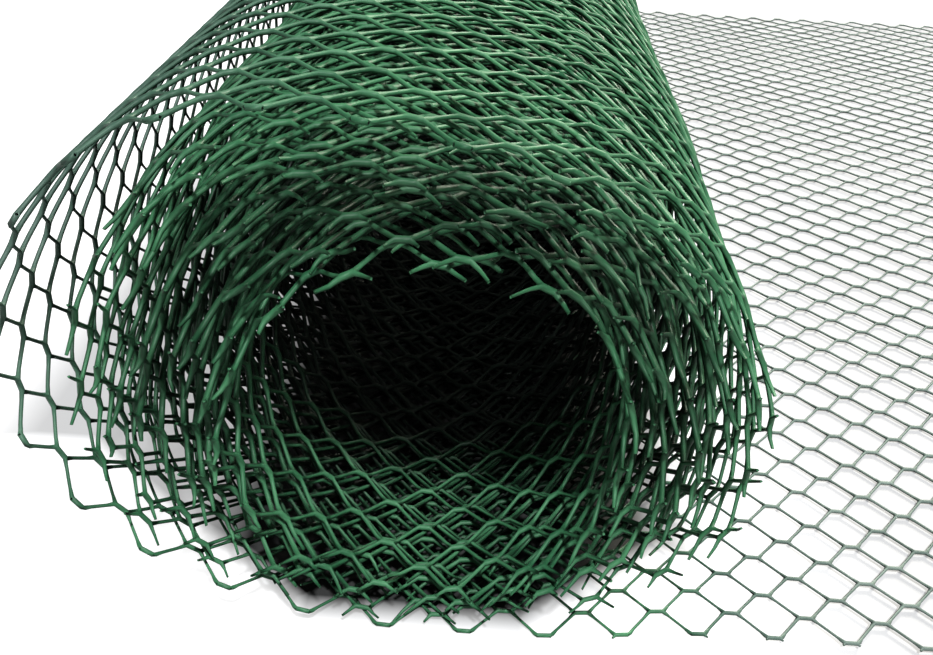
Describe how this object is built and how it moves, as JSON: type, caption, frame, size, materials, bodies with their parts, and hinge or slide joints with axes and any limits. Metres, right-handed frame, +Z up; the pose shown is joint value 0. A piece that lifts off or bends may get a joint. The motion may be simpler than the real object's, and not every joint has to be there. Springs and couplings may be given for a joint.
{
  "type": "roll of plastic mesh",
  "caption": "Roll of hexagonal plastic mesh lying on its side: wound turns around an open bore, one loose outer turn, and a free end lying flat.",
  "frame": {"origin": "on the underside of the sheet, which is the floor, straight below the middle of the bore", "axes": "+Y along the roll's axis, from the open end that shows the bore towards the far end; +X towards the free end of the sheet; +Z up"},
  "size_m": [0.7114, 1, 0.2098],
  "materials": {
    "mesh": "satin green extruded polyethylene"
  },
  "bodies": {
    "root": {"mesh_roll": "mesh"}
  },
  "joints": []
}
